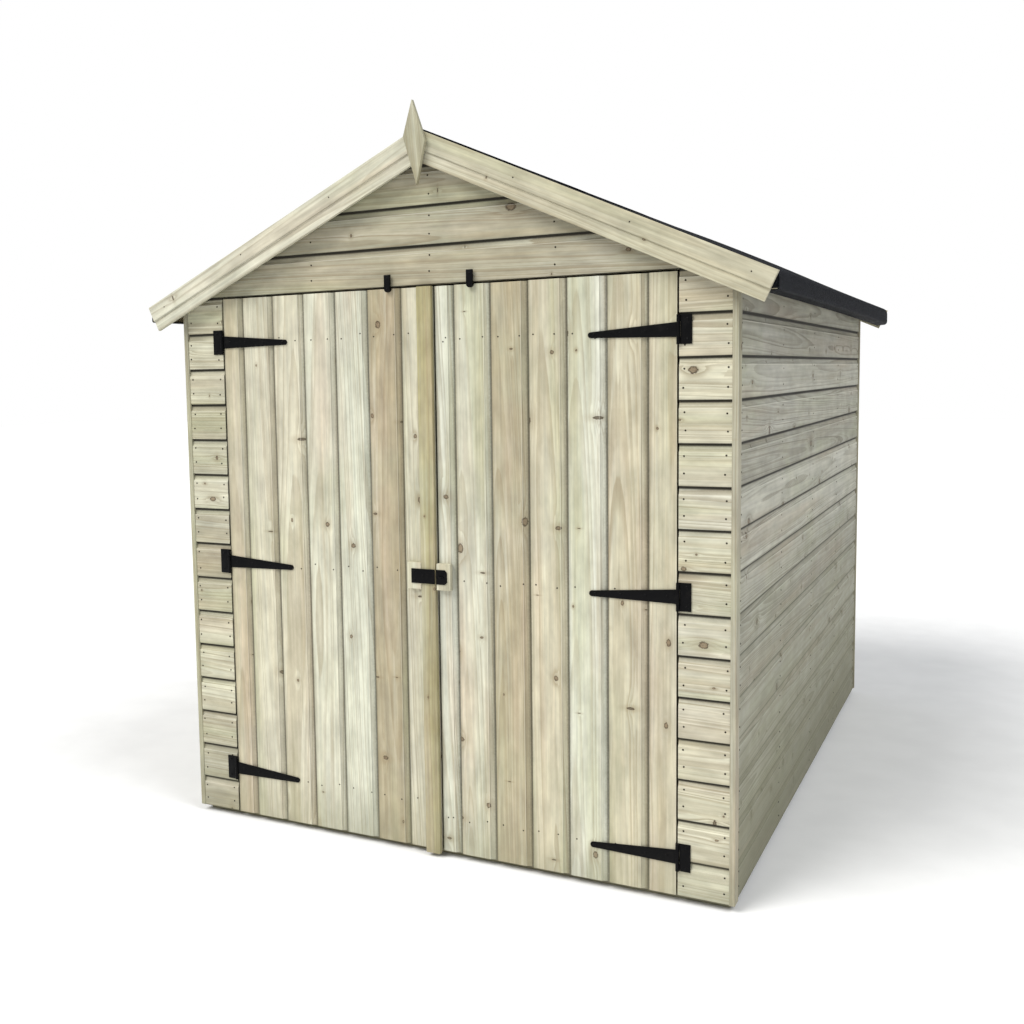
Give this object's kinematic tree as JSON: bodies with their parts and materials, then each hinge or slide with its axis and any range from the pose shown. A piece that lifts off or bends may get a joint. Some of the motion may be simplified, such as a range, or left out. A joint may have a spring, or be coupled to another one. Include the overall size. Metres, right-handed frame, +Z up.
{
  "type": "wooden garden shed",
  "caption": "Rectangular timber shed with a pitched felt roof, horizontal shiplap walls, ledged double doors on T hinges, moulded barge boards and a pointed finial.",
  "frame": {"origin": "on the ground under the middle of the shed, at the bottom centre of the whole shed's box", "axes": "+Z up; +X to the right when facing the doors; -Y is the door side; +Y runs along the ridge to the back"},
  "size_m": [2.011, 2.566, 2.2511],
  "materials": {
    "cladding": "pressure treated softwood shiplap, planed, cream with a green tint",
    "planed_trim": "pressure treated softwood, planed and moulded",
    "framing": "rough sawn softwood",
    "floor_boards": "pressure treated softwood boards",
    "roof_felt": "mineral surfaced bitumen roofing felt, charcoal",
    "black_ironwork": "satin black coated steel"
  },
  "bodies": {
    "shed": {"front_wall_left": "cladding", "front_wall_right": "cladding", "front_gable": "cladding", "left_wall": "cladding", "right_wall": "cladding", "back_wall": "cladding", "front_trims": "planed_trim", "back_trims": "planed_trim", "front_barges": "planed_trim", "back_barges": "planed_trim", "front_finial": "planed_trim", "front_posts": "framing", "front_lintel": "framing", "front_rafters": "framing", "side_studs": "framing", "side_rails": "framing", "back_studs": "framing", "back_rails": "framing", "back_rafters": "framing", "roof_beams": "framing", "eaves_battens": "framing", "verge_battens": "framing", "roof_left": "framing", "roof_right": "framing", "floor": "floor_boards", "floor_bearers": "floor_boards", "felt_left": "roof_felt", "felt_right": "roof_felt", "felt_ridge": "roof_felt", "left_hinge_plates": "black_ironwork", "right_hinge_plates": "black_ironwork"},
    "left_leaf": {"left_door": "cladding", "left_door_ledges": "framing", "left_hinge_straps": "black_ironwork", "cover_strip": "planed_trim", "left_catch": "black_ironwork", "latch_block_left": "planed_trim", "latch_plate": "black_ironwork"},
    "right_leaf": {"right_door": "cladding", "right_door_ledges": "framing", "right_hinge_straps": "black_ironwork", "right_catch": "black_ironwork", "latch_block_right": "planed_trim", "latch_keeper": "black_ironwork"}
  },
  "joints": [
    {"name": "left_door_swing", "type": "hinge", "parent": "shed", "child": "left_leaf", "pos_m": [-0.744, -1.231, 0.872], "axis": [0, 0, -1], "range_deg": [0, 105]},
    {"name": "right_door_swing", "type": "hinge", "parent": "shed", "child": "right_leaf", "pos_m": [0.744, -1.231, 0.859], "axis": [0, 0, 1], "range_deg": [0, 105]}
  ]
}
